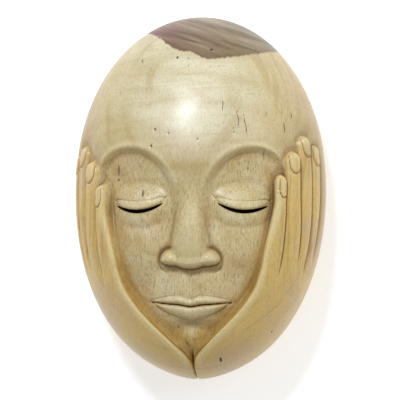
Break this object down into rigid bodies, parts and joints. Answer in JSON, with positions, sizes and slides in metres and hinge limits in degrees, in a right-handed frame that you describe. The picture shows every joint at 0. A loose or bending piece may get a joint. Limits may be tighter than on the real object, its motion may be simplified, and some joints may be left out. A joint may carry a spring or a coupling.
{
  "type": "wall mask",
  "caption": "Carved wooden wall mask: an egg-shaped head with a calm, closed-eyed face cupped between its hands, hollowed behind, with narrow eye slits and a notch for hanging.",
  "frame": {"origin": "on the plane of the flat back, below the middle of the mask's box", "axes": "+Z comes out of the face, +Y runs along the mask to the crown, +X is the right of someone who looks at the face; the mask lies on its back"},
  "size_m": [0.1748, 0.2513, 0.0913],
  "materials": {
    "pale_wood": "pale close-grained wood, oiled and hand polished, with a dark heartwood patch at the crown"
  },
  "bodies": {
    "root": {"carved_mask": "pale_wood"}
  },
  "joints": []
}
